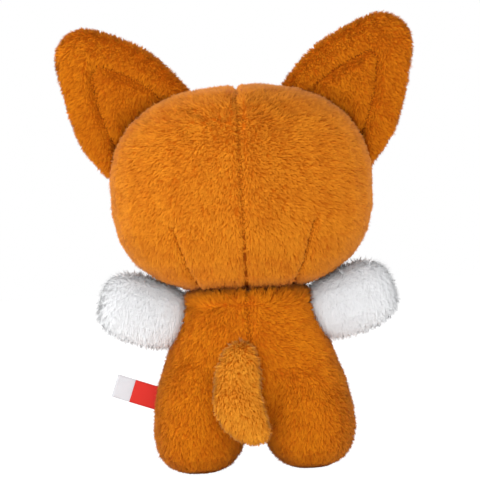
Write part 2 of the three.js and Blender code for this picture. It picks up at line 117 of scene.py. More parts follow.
# In height
LOW_HEAD = (172 * MM, 135 * MM)
PARTED_SEAM = (175 * MM, 135 * MM)
NAPE = (124 * MM, 118 * MM)
COLLAR = (105 * MM, 112 * MM)
UPPER_BACK = (45 * MM, 80 * MM)
TAIL_ROOT = (58 * MM, 72 * MM)

# As a distance from the centre seam, the neck's height, the floor and the fittings
BESIDE_SEAM = (8 * MM, 4 * MM)
FREE_OF_NECK = (3 * MM, 12 * MM)
FREE_OF_FLOOR = (0.5 * MM, 9 * MM)
FREE_OF_FITTINGS = (0.5 * MM, 4 * MM)

# Ways that the nap lies, and the spot that the face's nap runs away from
DOWN = (0.0, 0.0, -1.0)
UP = (0.0, 0.0, 1.0)
HEAD_LEFT_LAY = (0.3, 0.0, -0.7)
HEAD_RIGHT_LAY = (-0.75, 0.0, -0.65)
BACK_LAY = (0.05, 0.0, -1.0)
BACK_RIGHT_LAY = (-1.0, 0.0, -0.45)
NOSE_SPOT = (0.0, -60 * MM, 158 * MM)

# Lamps: the place of each, and the value that holds its power
LAMPS = {
    "left_lamp": ((1.7, 0.5, 1.0), "left_power"),
    "back_lamp": ((0.4, 1.9, 0.75), "back_power"),
    "right_lamp": ((-1.7, 0.2, 0.9), "right_power"),
    "front_lamp": ((0.2, -2.0, 0.6), "front_power"),
}


def ink(red, green, blue):
    """Linear colour of a screen colour given in steps of 0 to 255."""
    shares = [step / 255.0 for step in (red, green, blue)]
    return tuple(s / 12.92 if s <= 0.04045 else ((s + 0.055) / 1.055) ** 2.4 for s in shares)


def colour(title, words, shade):
    return FloatVectorProperty(
        name=title, description=words, subtype="COLOR", size=3, min=0.0, max=1.0, default=ink(*shade)
    )


def length(title, words, size):
    return FloatProperty(
        name=title, description=words, default=size, min=0.0, unit="LENGTH", subtype="DISTANCE", precision=5
    )


def angle(title, words, degrees):
    return FloatProperty(name=title, description=words, default=math.radians(degrees), subtype="ANGLE")


def share(title, words, value):
    return FloatProperty(name=title, description=words, default=value, min=0.0)


def power(title, words, watts):
    return FloatProperty(name=title, description=words, default=watts, min=0.0, unit="POWER")


class PlushColours(bpy.types.PropertyGroup):
    """Colours of the toy's cloth, plastic and thread."""

    # Each pile's root colour is darker than its tip: painted shade deep among the tufts
    brown_tip: colour("Brown tips", "Ends of the head's pile", (240, 146, 30))
    brown_root: colour("Brown roots", "Head's pile where it leaves the cloth", (206, 102, 6))
    body_tip: colour("Body tips", "Ends of the pile on the body and ears", (234, 136, 16))
    body_root: colour("Body roots", "Body's pile where it leaves the cloth", (202, 95, 2))
    brown_cloth: colour("Brown backing", "Knitted cloth under the brown pile", (204, 102, 8))
    tail_tip: colour("Tail tips", "Ends of the tail's pile", (250, 164, 46))
    tail_root: colour("Tail roots", "Tail pile where it leaves the cloth", (218, 118, 16))
    white_tip: colour("White tips", "Ends of the white pile", (253, 254, 255))
    white_root: colour("White roots", "White pile where it leaves the cloth", (252, 253, 255))
    white_cloth: colour("White backing", "Knitted cloth under the white pile", (251, 252, 255))
    lining_tip: colour("Lining tips", "Ends of the ear lining's pile", (247, 232, 220))
    lining_root: colour("Lining roots", "Ear lining's pile at the cloth", (226, 196, 178))
    # Painted shade in the creases of the seams, laid over the brown backing
    seam: colour("Seam shade", "Cloth drawn into a seam", (124, 54, 5))
    eye: colour("Eye", "Plastic of the eyes", (26, 17, 13))
    iris: colour("Iris", "Ring in the eyes", (70, 38, 18))
    nose: colour("Nose", "Plastic of the nose", (34, 27, 25))
    washer: colour("Washer", "Plastic of the hidden washers", (228, 226, 218))
    thread: colour("Thread", "Embroidery thread of the mouth", (52, 38, 32))
    fibre: colour("Neck fibre", "Dyed fibre of the wad in the neck", (190, 96, 14))
    red_ribbon: colour("Red ribbon", "Short ribbon in the side seam", (214, 44, 34))
    white_ribbon: colour("White ribbon", "Long ribbon in the side seam", (216, 216, 220))


class PlushSizes(bpy.types.PropertyGroup):
    """Sizes of the pile, the seams and the stuffing."""

    brown_pile: length("Brown pile", "Length of the brown pile", 3.3 * MM)
    white_pile: length("White pile", "Length of the arms' pile", 5.6 * MM)
    face_pile: length("Face pile", "Length of the white pile on the face and belly", 3.0 * MM)
    lining_pile: length("Lining pile", "Length of the ear lining's pile", 2.6 * MM)
    tuft_width: length("Tuft width", "Width of one brown tuft of pile", 0.9 * MM)
    white_tuft_width: length("White tuft width", "Width of one white tuft of pile", 0.8 * MM)
    tufts: share("Tufts", "Brown tufts on a square millimetre", 2.3)
    white_tufts: share("White tufts", "White tufts on a square millimetre", 2.4)
    large_grid: length("Large grid", "Spacing of the mesh of head and body", 2.2 * MM)
    small_grid: length("Small grid", "Spacing of the mesh of ears, arms, tail and neck", 1.7 * MM)
    seam_depth: length("Seam depth", "How far a seam draws the cloth in", 2.6 * MM)
    seam_width: length("Seam width", "Half width of a drawn-in seam", 1.9 * MM)
    lump_height: length("Lump height", "Unevenness of the stuffing", 0.7 * MM)
    lump_spacing: length("Lump spacing", "Distance between lumps of stuffing", 26.0 * MM)
    lock: IntProperty(name="Lock", description="Tufts drawn together into one lock", default=5, min=1)
    seed: IntProperty(name="Seed", description="Start of the random numbers", default=7)


class PlushStage(bpy.types.PropertyGroup):
    """Camera, lamps and floor."""

    view_distance: length("Distance", "From the camera to the toy", 2.4)
    view_width: length("View width", "Width of the picture at the toy", 312.4 * MM)
    view_across: FloatProperty(
        name="Aim across", description="Point aimed at, along x", default=2.6 * MM, unit="LENGTH"
    )
    view_height: length("Aim height", "Point aimed at, above the floor", 149.3 * MM)
    view_rise: angle("Elevation", "Height of the camera over the horizon", 1.5)
    view_roll: angle("Roll", "Turn of the camera about its line of sight", -3.2)
    left_power: power("Left lamp", "Power of the lamp on the left", 10.0)
    back_power: power("Back lamp", "Power of the lamp on the side of the tail", 16.0)
    front_power: power("Front lamp", "Power of the lamp on the side of the face", 13.0)
    right_power: power("Right lamp", "Power of the lamp on the right", 4.5)
    lamp_breadth: length("Lamp breadth", "Width of each round lamp", 1.4)
    lamp_aim: length("Lamp aim", "Height that the lamps point at", 0.15)
    sky: share("Sky", "Strength of the room's even light", 0.85)
    floor: colour("Floor", "Plain pale floor", (250, 250, 250))
    floor_radius: length("Floor radius", "Reach of the round floor", 3.0)
    floor_glow: share("Floor glow", "Brightness of the floor where the camera sees it", 1.1)


def colours():
    return bpy.context.scene.plush_colours


def sizes():
    return bpy.context.scene.plush_sizes


# Finishes


class Wire:
    """One value of a finish, for use in Python expressions."""

    def __init__(self, finish, socket):
        self.finish = finish
        self.socket = socket

    def _math(self, operation, first, second):
        node = self.finish.add("ShaderNodeMath", {"operation": operation}, {0: first, 1: second})
        return Wire(self.finish, node.outputs[0])

    def __add__(self, other):
        return self._math("ADD", self, other)

    def __radd__(self, other):
        return self._math("ADD", other, self)

    def __sub__(self, other):
        return self._math("SUBTRACT", self, other)

    def __rsub__(self, other):
        return self._math("SUBTRACT", other, self)

    def __mul__(self, other):
        return self._math("MULTIPLY", self, other)

    def __rmul__(self, other):
        return self._math("MULTIPLY", other, self)

    def __pow__(self, other):
        return self._math("POWER", self, other)


class Finish:
    """The nodes of a material or of the room, under construction."""

    def __init__(self, owner):
        owner.use_nodes = True
        self.owner = owner
        self.tree = owner.node_tree
        self.shader = self.tree.nodes.get("Principled BSDF")

    def add(self, kind, settings=None, sockets=None):
        node = self.tree.nodes.new(kind)
        for name, value in (settings or {}).items():
            setattr(node, name, value)
        self.feed(node, sockets or {})
        return node

    def feed(self, node, sockets):
        for key, value in sockets.items():
            self.fill(node.inputs[key], value)

    def fill(self, socket, value):
        if isinstance(value, Wire):
            self.tree.links.new(value.socket, socket)
        else:
            socket.default_value = value

    def wire(self, node, output):
        return Wire(self, node.outputs[output])

    def place(self, stretch=(1.0, 1.0, 1.0)):
        """Position on the toy, stretched along its axes."""
        spot = self.wire(self.add("ShaderNodeTexCoord"), "Object")
        return self.wire(self.add("ShaderNodeMapping", sockets={"Vector": spot, "Scale": stretch}), "Vector")

    def cloud(self, scale, detail=2.0, where=None):
        sockets = {"Scale": scale, "Detail": detail, "Vector": where or self.place()}
        return self.wire(self.add("ShaderNodeTexNoise", sockets=sockets), "Fac")

    def own(self, name):
        """A value kept on the mesh under this name."""
        return self.wire(self.add("ShaderNodeAttribute", {"attribute_name": name}), "Fac")

    def blend(self, first, second, factor):
        node = self.add("ShaderNodeMix", {"data_type": "RGBA", "clamp_factor": True}, {"Factor": factor})
        ends = [socket for socket in node.inputs if socket.type == "RGBA"]
        for socket, value in zip(ends, (first, second)):
            self.fill(socket, value if isinstance(value, Wire) else (*value[:3], 1.0))
        return Wire(self, [socket for socket in node.outputs if socket.type == "RGBA"][0])

    def bump(self, height, depth):
        sockets = {"Height": height, "Distance": depth, "Strength": 0.5}
        return self.wire(self.add("ShaderNodeBump", sockets=sockets), "Normal")

    def merge(self, factor, first, second, ending):
        """Ends in a mix of two shaders."""
        node = self.add("ShaderNodeMixShader", sockets={0: factor, 1: first, 2: second})
        self.tree.links.new(node.outputs[0], self.tree.nodes[ending].inputs["Surface"])

    def set(self, **sockets):
        """Gives the shader its values and hands over the material."""
        self.feed(self.shader, {name.replace("_", " "): value for name, value in sockets.items()})
        return self.owner


def new_finish(name):
    return Finish(bpy.data.materials.new(name))


def darker(tint, part):
    return tuple(part * channel for channel in tint)


def pile_finish(name, root, tip, contrast, sheen):
    """Pile darkened towards its roots by painted shade, and differing from tuft to tuft."""
    finish = new_finish(name)
    shaded_root_share = 0.2
    tip_gain = 0.72
    patches = finish.cloud(55.0)
    uneven = (finish.own("shade") - 0.5) * contrast + (patches - 0.5) * contrast
    # Painted shade: reach blends from the darker root colour at the cloth to the tip colour at the tufts'
    # ends
    depth = finish.own("reach") * tip_gain + uneven + shaded_root_share
    return finish.set(
        Base_Color=finish.blend(root, tip, depth),
        Roughness=0.88,
        Sheen_Weight=sheen,
        Sheen_Roughness=0.45,
        Specular_IOR_Level=0.12,
    )


def cloth_finish(name, backing, seam):
    """Knitted backing, with painted shade drawing it darker into the seams."""
    finish = new_finish(name)
    knit = finish.cloud(900.0, 3.0)
    worn = finish.blend(backing, darker(backing, 0.78), knit)
    return finish.set(
        # Painted shade: the seam mask blends the backing towards the seam colour in the seams' creases
        Base_Color=finish.blend(worn, seam, finish.own("seam")),
        Roughness=0.95,
        Normal=finish.bump(knit, 0.6 * MM),
        Specular_IOR_Level=0.08,
    )


def ribbon_finish(name, tint):
    """Satin ribbon with fine cross threads and a firmer selvedge."""
    finish = new_finish(name)
    cross_threads = 420.0
    selvedge_rise = 8.0
    selvedge_height = 150.0
    wave = finish.add("ShaderNodeMath", {"operation": "SINE"}, {0: finish.own("along") * cross_threads})
    rib = finish.wire(wave, 0) * 0.5 + 0.5
    off_middle = finish.add("ShaderNodeMath", {"operation": "ABSOLUTE"}, {0: finish.own("across") - 0.5})
    selvedge = finish.wire(off_middle, 0) ** selvedge_rise * selvedge_height
    return finish.set(
        Base_Color=finish.blend(tint, darker(tint, 0.86), rib * 0.5 + selvedge * 0.5),
        Roughness=0.42 + 0.2 * finish.cloud(300.0),
        Normal=finish.bump(rib + selvedge, 0.12 * MM),
        Specular_IOR_Level=0.2,
    )


def eye_finish(name, dark, iris, centre):
    """Polished dome, dark in the middle with a brown ring."""
    finish = new_finish(name)
    ring_start = 4.4 * MM
    ring_end = 5.6 * MM
    spot = finish.wire(finish.add("ShaderNodeTexCoord"), "Object")
    away = finish.add("ShaderNodeVectorMath", {"operation": "DISTANCE"}, {0: spot, 1: centre})
    ring = finish.add(
        "ShaderNodeMapRange",
        {"interpolation_type": "SMOOTHSTEP"},
        {"Value": finish.wire(away, "Value"), "From Min": ring_start, "From Max": ring_end},
    )
    fleck = finish.cloud(700.0, 3.0)
    return finish.set(
        Base_Color=finish.blend(dark, iris, finish.wire(ring, "Result") * (0.55 + 0.45 * fleck)),
        Roughness=0.06 + 0.04 * fleck,
        Specular_IOR_Level=0.22,
    )


def plastic_finish(name, tint, low, high, grain):
    """Moulded plastic with a fine grain, of a roughness between low and high."""
    finish = new_finish(name)
    speckle = finish.cloud(grain, 4.0)
    return finish.set(
        Base_Color=finish.blend(tint, darker(tint, 0.8), speckle),
        Roughness=low + (high - low) * speckle,
        Normal=finish.bump(speckle, 0.15 * MM),
        Specular_IOR_Level=0.3,
    )


def fibre_finish(name, tint, stretch, depth):
    """Matted fibres or thread."""
    finish = new_finish(name)
    strands = finish.cloud(500.0, 4.0, finish.place(stretch))
    return finish.set(
        Base_Color=finish.blend(darker(tint, 0.7), tint, strands),
        Roughness=0.9,
        Normal=finish.bump(strands, depth),
        Sheen_Weight=0.3,
    )


def finish_named(name, maker, *details):
    """The finish of that name, made on first use."""
    if name not in FINISHES:
        FINISHES[name] = maker(name, *details)
    return FINISHES[name]


def pile_look(kind):
    """The finish of one kind of pile, between the colours of its roots, darkened as painted shade, and its
    tips.
    """
    tints = colours()
    root = getattr(tints, f"{kind}_root")
    tip = getattr(tints, f"{kind}_tip")
    return finish_named(f"{kind}_pile", pile_finish, root, tip, *PILE_LOOKS[kind])


def brown_backing():
    return finish_named("brown_backing", cloth_finish, colours().brown_cloth, colours().seam)


def pale_backing(name, cloth):
    # The pale seams' painted shade: the cloth at 0.6 of its brightness
    return finish_named(name, cloth_finish, cloth, darker(cloth, 0.6))


def white_backing():
    return pale_backing("white_backing", colours().white_cloth)


def lining_backing():
    # The lining's backing takes its pile's root colour, which is darkened as painted shade
    return pale_backing("lining_backing", colours().lining_root)


def brown_yarn(kind, tall):
    """Finish, length, width and density of a brown pile."""
    return pile_look(kind), tall, sizes().tuft_width, sizes().tufts


def white_yarn(kind, tall):
    """Finish, length, width and density of a pale pile."""
    return pile_look(kind), tall, sizes().white_tuft_width, sizes().white_tufts


# Meshes


def linked(name, mesh):
    piece = bpy.data.objects.new(name, mesh)
    bpy.context.scene.collection.objects.link(piece)
    return piece


def smooth_faces(mesh):
    mesh.polygons.foreach_set("use_smooth", np.ones(len(mesh.polygons), bool))


def mesh_of(name, points, loops, starts):
    """A mesh from arrays: points, the corners of all faces in a row, and where each face starts."""
    mesh = bpy.data.meshes.new(name)
    mesh.vertices.add(len(points))
    mesh.vertices.foreach_set("co", np.asarray(points, np.float32).ravel())
    mesh.loops.add(len(loops))
    mesh.loops.foreach_set("vertex_index", np.asarray(loops, np.int32))
    mesh.polygons.add(len(starts))
    mesh.polygons.foreach_set("loop_start", np.asarray(starts, np.int32))
    mesh.update(calc_edges=True)
    mesh.validate()
    smooth_faces(mesh)
    return mesh


def keep_value(mesh, name, values):
    kept = mesh.attributes.new(name, "FLOAT", "POINT")
    kept.data.foreach_set("value", np.asarray(values, np.float32))


def points_of(mesh):
    points = np.empty(len(mesh.vertices) * 3, np.float32)
    mesh.vertices.foreach_get("co", points)
    return points.reshape(-1, 3).astype(float)


def normals_of(mesh):
    normals = np.empty(len(mesh.vertices) * 3, np.float32)
    mesh.vertex_normals.foreach_get("vector", normals)
    return normals.reshape(-1, 3).astype(float)


def move_points(mesh, points):
    mesh.vertices.foreach_set("co", points.astype(np.float32).ravel())
    mesh.update()


def cover_with(mesh, finish):
    mesh.materials.clear()
    mesh.materials.append(finish)


def unit(vectors):
    return vectors / np.maximum(np.linalg.norm(vectors, axis=-1, keepdims=True), 1e-9)


def smooth_step(values, start, end):
    """Rises from 0 at the start to 1 at the end, which may lie below the start."""
    t = np.clip((np.asarray(values, float) - start) / (end - start), 0.0, 1.0)
    return t * t * (3.0 - 2.0 * t)


def unevenness(points, spacing):
    """Soft random heights between about -1 and 1, with bumps at that spacing."""
    return np.array([noise.noise(Vector(point) / spacing) for point in points])


def gathered(name, nodes):
    """Copies of solids of the frame as one object."""
    points, loops, starts = [], [], []
    offset = corner = 0
    for node in nodes:
        mesh = FRAME["nodes"][node].data
        places = points_of(mesh)
        for face in mesh.polygons:
            starts.append(corner)
            loops.extend(offset + v for v in face.vertices)
            corner += len(face.vertices)
        points.append(places)
        offset += len(places)
    return linked(name, mesh_of(name, np.concatenate(points), loops, starts))


def applied(piece):
    """Leaves the piece with the mesh that its modifiers give."""
    graph = bpy.context.evaluated_depsgraph_get()
    made = bpy.data.meshes.new_from_object(piece.evaluated_get(graph))
    old = piece.data
    piece.modifiers.clear()
    piece.data = made
    bpy.data.meshes.remove(old)
    made.name = piece.name
    return made


def stuffed(name, nodes, grid, rounds):
    """One closed cover round the given panels and their stuffing, softened."""
    piece = gathered(name, nodes)
    closed = piece.modifiers.new("Closed cover", "REMESH")
    closed.mode = "VOXEL"
    closed.voxel_size = grid
    soft = piece.modifiers.new("Stuffed", "SMOOTH")
    soft.factor = 0.5
    soft.iterations = rounds
    applied(piece)
    return piece


def panel_distances(points, nodes):
    """Distance from each point to each of the frame's given solids."""
    table = []
    for node in nodes:
        mesh = FRAME["nodes"][node].data
        corners = [v.co for v in mesh.vertices]
        tree = BVHTree.FromPolygons(corners, [tuple(f.vertices) for f in mesh.polygons])
        table.append([tree.find_nearest(Vector(p))[3] for p in points])
    return np.array(table).T


def sewn_line(sign, places):
    """A sewn line of one side, from places in millimetres."""
    return [(sign * across * MM, height * MM) for across, height in places]


def line_distance(flat, line):
    """Least distance from each flat point to a polyline."""
    nearest = np.full(len(flat), np.inf)
    for start, end in zip(line[:-1], line[1:]):
        start, end = np.array(start), np.array(end)
        along = end - start
        t = np.clip((flat - start) @ along / (along @ along), 0.0, 1.0)
        nearest = np.minimum(nearest, np.linalg.norm(flat - start - t[:, None] * along, axis=1))
    return nearest


class Cover:
    """A stuffed cover with its panels, seams and pile."""

    # Lengths
    swirl_spacing = 5.5 * MM
    wave_spacing = 17.0 * MM
    root_sink = 0.4 * MM
    floor_gap = 0.3 * MM
    least_clear = 0.4 * MM
    full_from_seam = 3.2 * MM
    nowhere_near = 1.0

    # Angles from upright
    least_tilt = 0.25
    most_tilt = 1.45

    # Shares by which tufts differ
    lay_scatter = 0.3
    tilt_wave = 0.18
    tilt_scatter = 0.16
    stray_tilt = 0.5
    length_wave = 0.15
    length_scatter = 0.16
    width_scatter = 0.2
    length_at_seam = 0.4
    length_at_floor = 0.25
    length_at_fittings = 0.3
    lock_shade = 0.65
    own_shade = 0.35
    seam_shade_width = 0.6

    # Step between the random seeds of covers whose names differ in length
    seed_step = 31

    # Root corners of a tuft, as widths sideways and above, and its three sides, with the tip as corner 3
    tuft_section = ((0.0, 0.3), (-0.6, -0.1), (0.6, -0.1))
    tuft_sides = (0, 1, 3, 1, 2, 3, 2, 0, 3)

    def __init__(self, name, panels, filling, grid, rounds, swollen=0.0, bare=0.7 * MM):
        self.name = name
        self.bare = bare
        self.nodes = [*panels, *filling]
        self.panels = panels
        self.piece = stuffed(name, self.nodes, grid, rounds)
        self.swollen = swollen
        self.read()
        self.distances = panel_distances(self.points, panels)
        self.panel = np.argmin(self.distances, axis=1)
        self.clear = np.full(len(self.points), self.nowhere_near)
        nearest = np.sort(self.distances, axis=1)
        self.seam = nearest[:, 1] - nearest[:, 0]

    def read(self):
        mesh = self.piece.data
        self.points = points_of(mesh)
        self.normals = normals_of(mesh)
        mesh.calc_loop_triangles()
        corners = np.empty(len(mesh.loop_triangles) * 3, np.int32)
        mesh.loop_triangles.foreach_get("vertices", corners)
        self.triangles = corners.reshape(-1, 3)

    def stitch(self, line, where, shallow=0.0):
        """A further sewn line, given across and up, on the points that where picks."""
        apart = line_distance(self.points[:, [0, 2]], line) + shallow
        self.seam = np.where(where, np.minimum(self.seam, apart), self.seam)

    def keep_clear(self, fittings):
        """Lets the pile grow short towards the given fittings and not under them."""
        self.clear = np.minimum(self.clear, panel_distances(self.points, fittings).min(1))

    def bare_neck(self, half_width, half_depth, height):
        """Leaves the cloth bare inside the round seam where head and body meet."""
        away = self.points - NECK
        turns = np.hypot(away[:, 0] / half_width, away[:, 1] / half_depth)
        beyond = np.maximum(turns - 1.0, 0.0) * half_depth
        self.clear = np.where(np.abs(away[:, 2]) < height, np.minimum(self.clear, beyond), self.clear)

    def sew(self, depth_share=1.0, width_share=1.0):
        """Draws the cloth in at its seams and lets the stuffing show, except beside the neck."""
        size = sizes()
        drawn = self.seam_shape(width_share) * size.seam_depth * depth_share
        lumps = unevenness(self.points, size.lump_spacing) * size.lump_height
        free = smooth_step(np.abs(self.points[:, 2] - NECK[2]), *FREE_OF_NECK)
        moved = self.points + self.normals * (free * (lumps - drawn + self.swollen))[:, None]
        moved[:, 2] = np.maximum(moved[:, 2], 0.0)
        move_points(self.piece.data, moved)
        # Keeps the mask of the seams' painted shade for the backing's finish
        keep_value(self.piece.data, "seam", self.seam_shape(self.seam_shade_width))
        self.read()

    def seam_shape(self, width_share):
        """1 along the seams, falling to 0 beside them."""
        return np.exp(-((self.seam / (sizes().seam_width * width_share)) ** 2))

    def side_field(self, chosen):
        """Above zero where the nearest panel is one of those chosen."""
        inside = [i for i, node in enumerate(self.panels) if node in chosen]
        outside = [i for i in range(len(self.panels)) if i not in inside]
        if not outside:
            return np.full(len(self.points), 1.0)
        return self.distances[:, outside].min(1) - self.distances[:, inside].min(1)

    def paint(self, finishes):
        """One backing for each group of panels: a list of (panels, finish)."""
        mesh = self.piece.data
        mesh.materials.clear()
        group_of = np.zeros(len(self.panels), np.int32)
        for index, (chosen, finish) in enumerate(finishes):
            mesh.materials.append(finish)
            for node in chosen:
                group_of[self.panels.index(node)] = index
        first = np.array([face.vertices[0] for face in mesh.polygons])
        mesh.polygons.foreach_set("material_index", group_of[self.panel[first]])
        smooth_faces(mesh)

    def pile(
        self, name, chosen, yarn, nap, lean=0.95, wild=0.45, relief=0.35, pull=0.5, stray=0.18, even=0.0
    ):
        """Pile on the chosen panels as tapered tufts that lie along the nap.

        Lean is the tufts' angle from upright, and stray the share of them that leans only half as far.
        Wild turns them to the sides, relief rounds their shading and pull draws them into locks.
        An even pile takes more of the same light from above and from below.
        """
        finish, tall, wide, dense = yarn
        size = sizes()
        rng = np.random.default_rng(size.seed + len(self.name) * self.seed_step + len(name))
        noise.seed_set(size.seed)
        spots = self.scatter(chosen, dense, rng)
        root = self.at(spots, self.points)
        out = unit(self.at(spots, self.normals))
        count = len(root)
        swirl = np.array([noise.noise_vector(Vector(point) / self.swirl_spacing) for point in root])
        wave = unevenness(root, self.wave_spacing)
        flow, leaning, longer = nap(root)
        lay = unit(flow) + wild * swirl + self.lay_scatter * rng.normal(size=root.shape)
        lay = unit(lay - out * np.einsum("ij,ij->i", lay, out)[:, None])
        tilt = lean * leaning * (1.0 + self.tilt_wave * wave + self.tilt_scatter * rng.normal(size=count))
        tilt *= np.where(rng.random(count) < stray, self.stray_tilt, 1.0)
        tilt = np.clip(tilt, self.least_tilt, self.most_tilt)[:, None]
        off_seam = smooth_step(self.at(spots, self.seam), self.bare, self.full_from_seam)
        off_floor = smooth_step(root[:, 2], *FREE_OF_FLOOR)
        off_fittings = smooth_step(self.at(spots, self.clear), *FREE_OF_FITTINGS)
        span = tall * longer * grown(self.length_at_seam, off_seam)
        span *= 1.0 + self.length_wave * wave + self.length_scatter * rng.normal(size=count)
        span *= grown(self.length_at_floor, off_floor)
        span *= grown(self.length_at_fittings, off_fittings)
        thick = wide * (1.0 + self.width_scatter * rng.normal(size=count))
        along = out * np.cos(tilt) + lay * np.sin(tilt)
        tip = root + along * span[:, None]
        leader = self.leaders(root, size.lock, rng)
        tip += pull * (tip[leader] - tip)
        side = unit(np.cross(lay, out))
        ridge = np.cross(along, side)
        softer = unit(out * np.array([1.0, 1.0, 1.0 - even]))
        corners, facing = [], []
        for sideways, above in self.tuft_section:
            away = sideways * side + above * ridge
            corners.append(root - out * self.root_sink + away * thick[:, None])
            facing.append(unit(softer + relief * unit(away)))
        corners = np.stack([*corners, tip], axis=1)
        corners[:, :, 2] = np.maximum(corners[:, :, 2], self.floor_gap)
        facing = np.stack([*facing, softer], axis=1)
        shade = self.lock_shade * rng.random(count)[leader] + self.own_shade * rng.random(count)
        mesh = self.tufts(name, corners, facing, shade)
        mesh.materials.append(finish)
        return linked(name, mesh)

    def scatter(self, chosen, dense, rng):
        """Random spots on the chosen panels, clear of seams and fittings, each a triangle and weights."""
        corners = self.points[self.triangles]
        cross = np.cross(corners[:, 1] - corners[:, 0], corners[:, 2] - corners[:, 0])
        area = np.linalg.norm(cross, axis=1) / 2.0 / MM**2
        counts = np.floor(area * dense + rng.random(len(area))).astype(int)
        owner = np.repeat(np.arange(len(area)), counts)
        weights = rng.dirichlet((1.0, 1.0, 1.0), len(owner))
        spots = owner, weights
        keep = self.at(spots, self.side_field(chosen)) > 0.0
        keep &= self.at(spots, self.seam) > self.bare
        keep &= self.at(spots, self.clear) > self.least_clear
        return owner[keep], weights[keep]

    def at(self, spots, values):
        """Values of the cover's points, taken to spots between them."""
        owner, weights = spots
        return np.einsum("ij,ij...->i...", weights, values[self.triangles[owner]])

    def leaders(self, roots, lock, rng):
        """The tuft that each tuft leans towards: the nearest of a chosen few."""
        chosen = rng.choice(len(roots), max(1, len(roots) // lock), replace=False)
        tree = KDTree(len(chosen))
        for place, index in enumerate(chosen):
            tree.insert(roots[index], place)
        tree.balance()
        return chosen[np.array([tree.find(root)[1] for root in roots], int)]

    def tufts(self, name, corners, facing, shade):
        """Three-sided tufts, each from three corners under the cloth to its tip."""
        count = len(corners)
        loops = (4 * np.arange(count)[:, None] + np.array(self.tuft_sides)).ravel()
        mesh = mesh_of(name, corners.reshape(-1, 3), loops, 3 * np.arange(3 * count))
        # Reach from root to tip carries the painted shade at the pile's roots
        keep_value(mesh, "reach", np.tile([0.0, 0.0, 0.0, 1.0], count))
        keep_value(mesh, "shade", np.repeat(shade, 4))
        self.lay_out(mesh, count)
        mesh.normals_split_custom_set_from_vertices(facing.reshape(-1, 3).tolist())
        return mesh

    def lay_out(self, mesh, count):
        """Gives each tuft a square of its own on the map."""
        across = math.ceil(math.sqrt(count))
        cell = np.stack([np.arange(count) % across, np.arange(count) // across], axis=1) / across
        spots = np.array(3 * [[0.05, 0.05], [0.95, 0.05], [0.5, 0.95]])
        places = cell[:, None, :] + spots[None] / across
        layer = mesh.uv_layers.new(name="OFBake")
        layer.data.foreach_set("uv", places.astype(np.float32).ravel())


def grown(least, step):
    """From the least share of a length to the whole of it."""
    return least + (1.0 - least) * step


def dressed(cover, tufts, settle):
    """Puts the cover and its pile on the frame in the place of its solids."""
    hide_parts(*cover.nodes)
    for piece in (cover.piece, *tufts):
        settle(piece)


# Nap of the pile: each gives the way that the tufts lie, how far they lean and how long they are, as shares


def mixed(first, second, factor):
    return first + (np.asarray(second) - first) * np.asarray(factor)[:, None]


def all_of(points, direction):
    return np.tile(np.array(direction, float), (len(points), 1))


def even_nap(direction, leaning=1.0):
    """A nap that lies one way all over."""

    def nap(points):
        return all_of(points, direction), np.full(len(points), leaning), 1.0

    return nap


def head_nap(points):
    """Swept across on the right, hanging below, and away from the nose in front."""
    across, depth, height = points.T
    right = smooth_step(across, *SWEPT_HEAD)
    front = smooth_step(depth, *FACE)
    forward = 0.5
    flow = mixed(all_of(points, HEAD_LEFT_LAY), HEAD_RIGHT_LAY, right)
    flow = mixed(flow, DOWN, smooth_step(height, *LOW_HEAD))
    flow[:, 1] -= forward
    flow = mixed(flow, unit(points - np.array(NOSE_SPOT)), front)
    leaning = 1.05 - 0.2 * right * (1.0 - front)
    longer = 1.0 + 0.4 * smooth_step(height, *NAPE)
    return flow, leaning, longer


def body_nap(points):
    """Hanging, but swept across the upper right of the back, and up and outward at the neck."""
    across, _, height = points.T
    swept = smooth_step(across, *SWEPT_BACK) * smooth_step(height, *UPPER_BACK)
    collar = smooth_step(height, *COLLAR)
    outward = 0.8 * collar[:, None] * unit(points * np.array([1.0, 1.0, 0.0]))
    flow = mixed(all_of(points, BACK_LAY), BACK_RIGHT_LAY, swept)
    flow = mixed(flow, UP, collar) + outward
    return flow, 1.0 - 0.5 * collar, 1.0 + 0.8 * collar


# Pieces


class PLUSH_OT_head(bpy.types.Operator):
    """Sews and stuffs the head, with its white blaze, seams and darts"""

    bl_idname = "plush.head"
    bl_label = "Head"

    def execute(self, context):
        size = sizes()
        brown = ["head_back_left", "head_back_right", "face_left", "face_right"]
        panels = [*brown, "blaze"]
        shape = {"grid": size.large_grid, "rounds": 9, "swollen": 0.8 * MM, "bare": 0.9 * MM}
        cover = Cover("head_cover", panels, ["head_stuffing"], **shape)
        self.sew_back(cover)
        cover.keep_clear(["eye_left", "eye_right", "nose", "mouth_stitch"])
        cover.bare_neck(half_width=22 * MM, half_depth=15 * MM, height=8 * MM)
        cover.paint([(brown, brown_backing()), (["blaze"], white_backing())])
        yarn = brown_yarn("brown", size.brown_pile)
        coats = [cover.pile(f"{panel}_pile", [panel], yarn, head_nap) for panel in brown]
        bib = cover.pile("blaze_pile", ["blaze"], white_yarn("white", size.face_pile), head_nap, **COMBED)
        dressed(cover, [*coats, bib], lambda piece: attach(piece, "head"))
        return {"FINISHED"}

    def sew_back(self, cover):
        """Sews the darts of the nape, and parts the pile wider along the lower half of the centre seam."""
        faces_back = 0.1
        parting = 0.3 * MM
        back = cover.normals[:, 1] > faces_back
        for sign in SIDES.values():
            cover.stitch(sewn_line(sign, NAPE_DART), back, shallow=0.25 * MM)
        parted = smooth_step(cover.points[:, 2], *PARTED_SEAM) * back
        parted *= smooth_step(np.abs(cover.points[:, 0]), *BESIDE_SEAM)
        cover.seam = np.maximum(cover.seam - parting * parted, 0.0)
        cover.sew()


